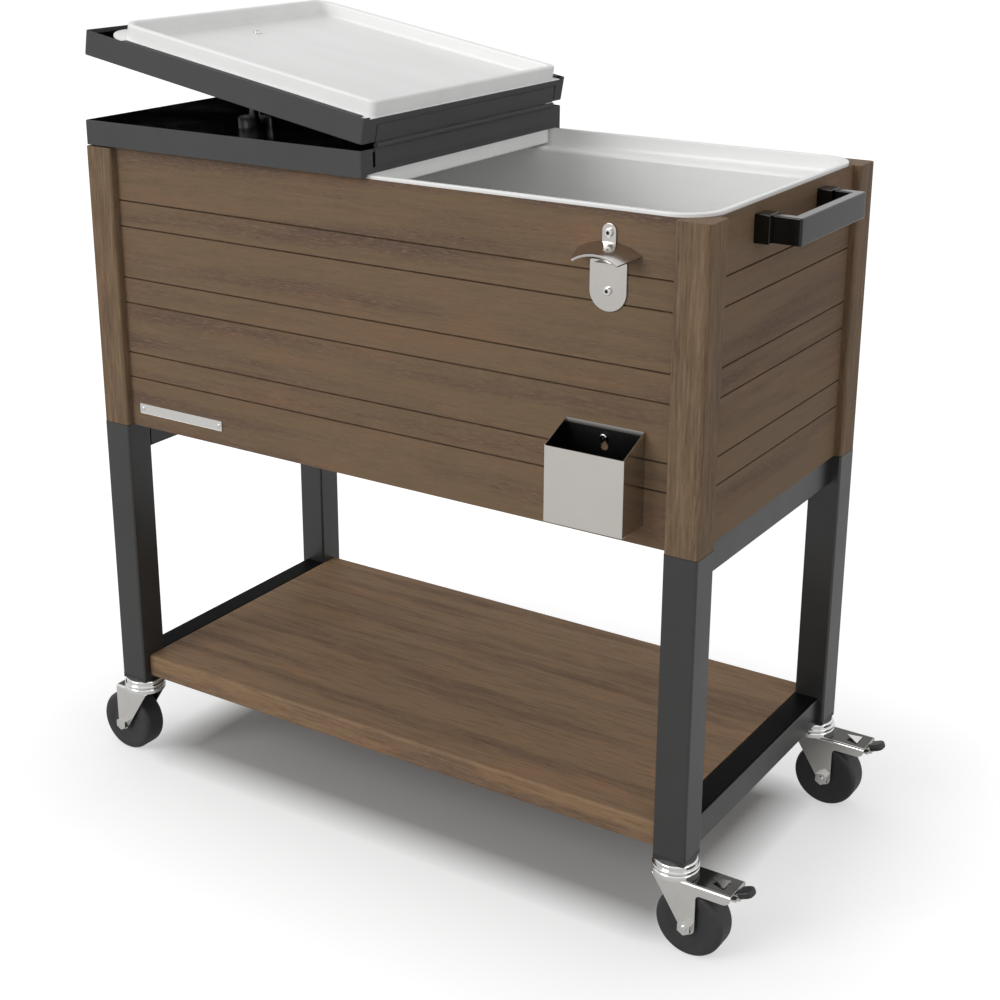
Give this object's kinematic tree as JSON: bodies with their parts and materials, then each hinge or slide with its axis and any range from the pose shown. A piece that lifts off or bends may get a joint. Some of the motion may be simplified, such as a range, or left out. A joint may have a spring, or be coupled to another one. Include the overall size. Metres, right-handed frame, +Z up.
{
  "type": "rolling patio cooler",
  "caption": "Planked drinks cooler on a square-tube cart with shelf and casters, split lid hinged across the middle, pull handles, bottle opener and hanging cap catcher.",
  "frame": {"origin": "on the floor, under the middle of the cabinet and midway between the four casters' swivel axes", "axes": "+X to the right along the front, +Y from the front to the rear, +Z up"},
  "size_m": [0.9665, 0.4698, 0.9738],
  "materials": {
    "cabinet_wood": "satin",
    "shelf_wood": "satin",
    "frame_black": "satin",
    "lid_black": "gloss",
    "hinge_black": "satin",
    "liner_white": "satin",
    "foam": "matte",
    "knob_black": "gloss",
    "handle_black": "satin",
    "brushed_steel": "satin",
    "fastener_steel": "polished",
    "floor_sheet": "satin",
    "caster_zinc": "satin",
    "caster_chrome": "polished",
    "wheel_rubber": "matte",
    "pedal_black": "matte"
  },
  "bodies": {
    "cabinet": {"front_left_leg": "frame_black", "front_right_leg": "frame_black", "rear_left_leg": "frame_black", "rear_right_leg": "frame_black", "front_left_post": "cabinet_wood", "front_right_post": "cabinet_wood", "rear_left_post": "cabinet_wood", "rear_right_post": "cabinet_wood", "left_upper_rail": "frame_black", "right_upper_rail": "frame_black", "left_lower_rail": "frame_black", "right_lower_rail": "frame_black", "shelf_board": "shelf_wood", "shelf_dowels": "shelf_wood", "front_panel": "cabinet_wood", "rear_panel": "cabinet_wood", "left_panel": "cabinet_wood", "right_panel": "cabinet_wood", "cabinet_floor": "floor_sheet", "insulation_foam": "foam", "inner_tub": "liner_white", "drain_fitting": "liner_white", "left_handle": "handle_black", "right_handle": "handle_black", "handle_screws": "fastener_steel", "bottle_opener": "brushed_steel", "front_screws": "fastener_steel", "name_plate": "brushed_steel", "name_plate_rivets": "fastener_steel", "leg_plugs": "pedal_black", "caster_stems": "caster_chrome"},
    "left_lid": {"left_lid_shell": "lid_black", "left_lid_liner": "liner_white", "left_lid_foam": "foam", "left_lid_knob": "knob_black", "left_lid_knob_screw": "fastener_steel", "left_hinge_leaf": "hinge_black", "hinge_pin": "fastener_steel"},
    "right_lid": {"right_lid_shell": "lid_black", "right_lid_liner": "liner_white", "right_lid_foam": "foam", "right_lid_knob": "knob_black", "right_lid_knob_screw": "fastener_steel", "right_hinge_leaf": "hinge_black"},
    "catcher": {"cap_catcher": "brushed_steel"},
    "drain_plug": {"drain_cap": "liner_white"},
    "front_left_caster": {"front_left_caster_fork": "caster_zinc", "front_left_caster_axle": "fastener_steel"},
    "front_left_wheel": {"front_left_caster_wheel": "wheel_rubber"},
    "front_right_caster": {"front_right_caster_fork": "caster_zinc", "front_right_caster_axle": "fastener_steel"},
    "front_right_wheel": {"front_right_caster_wheel": "wheel_rubber"},
    "front_right_brake": {"front_right_brake_pedal": "pedal_black"},
    "rear_left_caster": {"rear_left_caster_fork": "caster_zinc", "rear_left_caster_axle": "fastener_steel"},
    "rear_left_wheel": {"rear_left_caster_wheel": "wheel_rubber"},
    "rear_right_caster": {"rear_right_caster_fork": "caster_zinc", "rear_right_caster_axle": "fastener_steel"},
    "rear_right_wheel": {"rear_right_caster_wheel": "wheel_rubber"},
    "rear_right_brake": {"rear_right_brake_pedal": "pedal_black"}
  },
  "joints": [
    {"name": "lid_lift", "type": "slide", "parent": "cabinet", "child": "left_lid", "axis": [0, 0, 1], "range_m": [0, 0.25]},
    {"name": "lid_hinge", "type": "hinge", "parent": "left_lid", "child": "right_lid", "pos_m": [0, 0, 0.8605], "axis": [0, 1, 0], "range_deg": [0, 170.16]},
    {"name": "catcher_lift", "type": "slide", "parent": "cabinet", "child": "catcher", "axis": [0, 0, 1], "range_m": [0, 0.01]},
    {"name": "drain_cap_turn", "type": "hinge", "parent": "cabinet", "child": "drain_plug", "pos_m": [0.3, 0.09, 0.458], "axis": [0, 0, 1], "continuous": true},
    {"name": "front_left_swivel", "type": "hinge", "parent": "cabinet", "child": "front_left_caster", "pos_m": [-0.4, -0.1925, 0.098], "axis": [0, 0, 1], "continuous": true},
    {"name": "front_left_wheel_spin", "type": "hinge", "parent": "front_left_caster", "child": "front_left_wheel", "pos_m": [-0.425, -0.1925, 0.041], "axis": [0, 1, 0], "continuous": true},
    {"name": "front_right_swivel", "type": "hinge", "parent": "cabinet", "child": "front_right_caster", "pos_m": [0.4, -0.1925, 0.098], "axis": [0, 0, 1], "continuous": true},
    {"name": "front_right_wheel_spin", "type": "hinge", "parent": "front_right_caster", "child": "front_right_wheel", "pos_m": [0.425, -0.1925, 0.041], "axis": [0, 1, 0], "continuous": true},
    {"name": "front_right_brake_press", "type": "hinge", "parent": "front_right_caster", "child": "front_right_brake", "pos_m": [0.434, -0.1925, 0.0865], "axis": [0, 1, 0], "range_deg": [0, 12]},
    {"name": "rear_left_swivel", "type": "hinge", "parent": "cabinet", "child": "rear_left_caster", "pos_m": [-0.4, 0.1925, 0.098], "axis": [0, 0, 1], "continuous": true},
    {"name": "rear_left_wheel_spin", "type": "hinge", "parent": "rear_left_caster", "child": "rear_left_wheel", "pos_m": [-0.425, 0.1925, 0.041], "axis": [0, 1, 0], "continuous": true},
    {"name": "rear_right_swivel", "type": "hinge", "parent": "cabinet", "child": "rear_right_caster", "pos_m": [0.4, 0.1925, 0.098], "axis": [0, 0, 1], "continuous": true},
    {"name": "rear_right_wheel_spin", "type": "hinge", "parent": "rear_right_caster", "child": "rear_right_wheel", "pos_m": [0.425, 0.1925, 0.041], "axis": [0, 1, 0], "continuous": true},
    {"name": "rear_right_brake_press", "type": "hinge", "parent": "rear_right_caster", "child": "rear_right_brake", "pos_m": [0.434, 0.1925, 0.0865], "axis": [0, 1, 0], "range_deg": [0, 12]}
  ]
}
